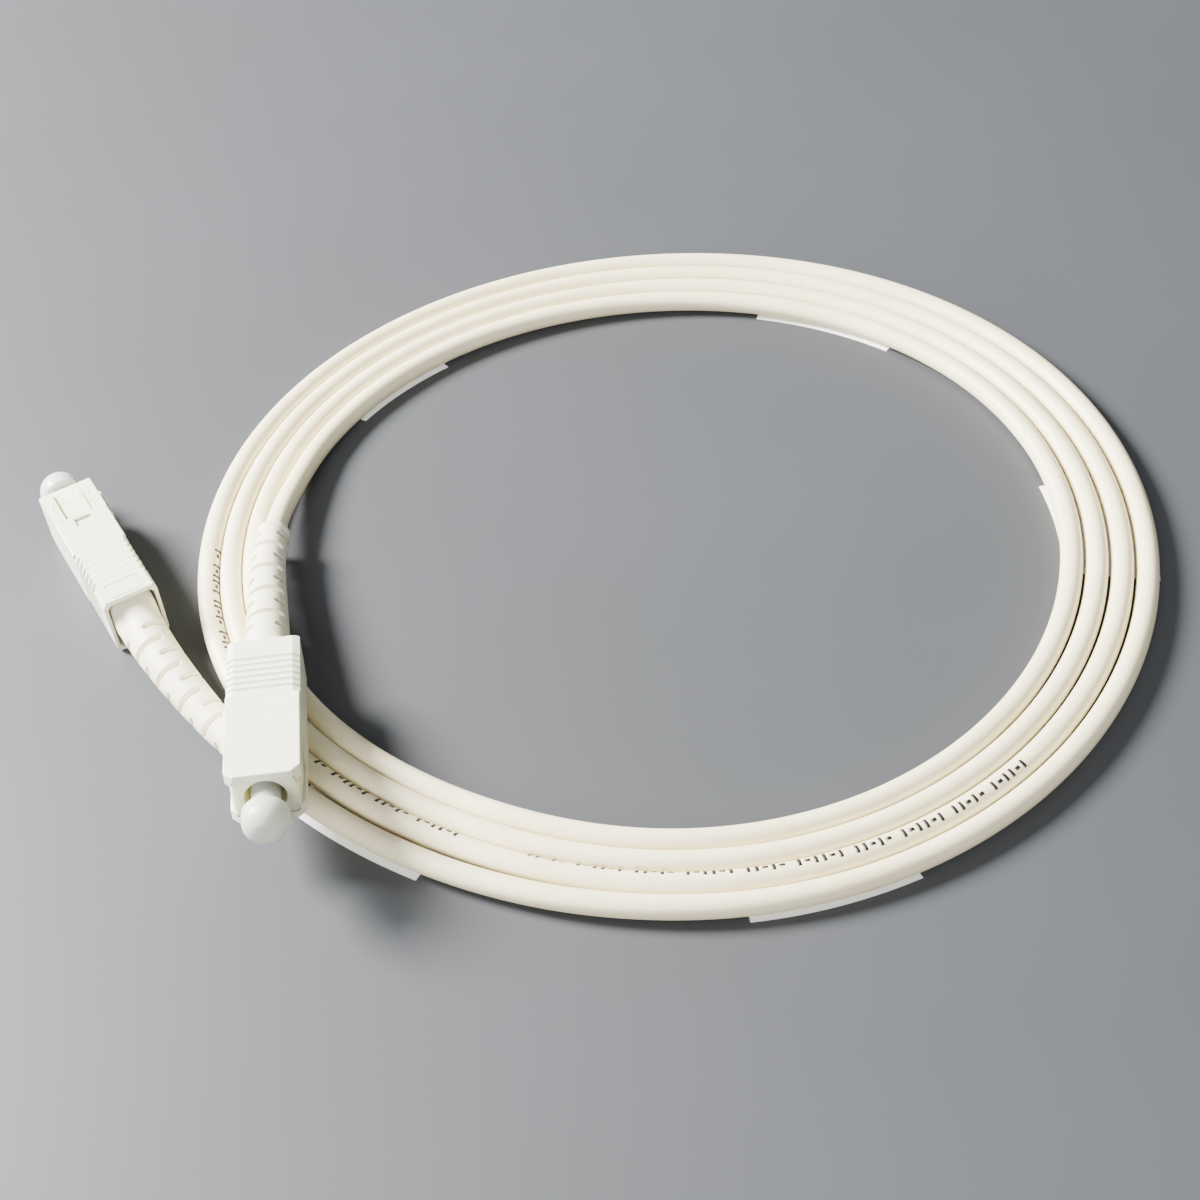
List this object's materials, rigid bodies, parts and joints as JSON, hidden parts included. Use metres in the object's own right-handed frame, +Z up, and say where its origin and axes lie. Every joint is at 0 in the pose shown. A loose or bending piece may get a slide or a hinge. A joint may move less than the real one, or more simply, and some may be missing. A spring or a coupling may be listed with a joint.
{
  "type": "fibre optic patch cord",
  "caption": "Simplex fibre optic patch cord: round ivory cable in a flat taped coil, a square push-pull plug with bend-relief boot and dust cap at each end.",
  "frame": {"origin": "centre of the footprint of the plugs and tape strips, on the surface the cord lies on", "axes": "+Z up from the surface, +X across the coil away from the plugs, +Y away from the nose of plug b"},
  "size_m": [0.154, 0.1255, 0.0152],
  "materials": {
    "cable_jacket": "satin",
    "boot": "satin",
    "housing": "satin",
    "frame": "satin",
    "ceramic": "polished",
    "steel": "machined",
    "spring": "drawn",
    "nickel": "nickel plated",
    "crimp": "satin",
    "aramid": "fibrous",
    "buffer": "satin",
    "glass_fibre": "clear",
    "cap": "frosted",
    "tape": "satin"
  },
  "bodies": {
    "cord": {"coil": "cable_jacket", "tape_strip_1": "tape", "tape_strip_2": "tape", "tape_strip_3": "tape", "tape_strip_4": "tape", "tape_strip_5": "tape", "lead_a": "cable_jacket", "boot_a": "boot", "plug_frame_a": "frame", "ferrule_spring_a": "spring", "rear_body_a": "nickel", "aramid_yarn_a": "aramid", "crimp_ring_a": "crimp", "buffer_tube_a": "buffer", "lead_b": "cable_jacket", "boot_b": "boot", "plug_frame_b": "frame", "ferrule_spring_b": "spring", "rear_body_b": "nickel", "aramid_yarn_b": "aramid", "crimp_ring_b": "crimp", "buffer_tube_b": "buffer"},
    "grip_a": {"grip_a": "housing"},
    "ferrule_a": {"ferrule_a": "ceramic", "ferrule_flange_a": "steel", "fibre_a": "glass_fibre"},
    "cap_a": {"dust_cap_a": "cap"},
    "grip_b": {"grip_b": "housing"},
    "ferrule_b": {"ferrule_b": "ceramic", "ferrule_flange_b": "steel", "fibre_b": "glass_fibre"},
    "cap_b": {"dust_cap_b": "cap"}
  },
  "joints": [
    {"name": "grip_slide_a", "type": "slide", "parent": "cord", "child": "grip_a", "axis": [-0.4772, 0.8788, 0], "range_m": [-0.002, 0]},
    {"name": "ferrule_float_a", "type": "slide", "parent": "cord", "child": "ferrule_a", "axis": [-0.4772, 0.8788, 0], "range_m": [-0.0012, 0], "stiffness_N_per_m": 800, "springref_m": 0.004, "deforming": ["ferrule_spring_a"]},
    {"name": "cap_pull_a", "type": "slide", "parent": "ferrule_a", "child": "cap_a", "axis": [-0.4772, 0.8788, 0], "range_m": [0, 0.02]},
    {"name": "grip_slide_b", "type": "slide", "parent": "cord", "child": "grip_b", "axis": [0.0945, -0.9815, 0.1668], "range_m": [-0.002, 0]},
    {"name": "ferrule_float_b", "type": "slide", "parent": "cord", "child": "ferrule_b", "axis": [0.0945, -0.9815, 0.1668], "range_m": [-0.0012, 0], "stiffness_N_per_m": 800, "springref_m": 0.004, "deforming": ["ferrule_spring_b"]},
    {"name": "cap_pull_b", "type": "slide", "parent": "ferrule_b", "child": "cap_b", "axis": [0.0945, -0.9815, 0.1668], "range_m": [0, 0.02]}
  ]
}
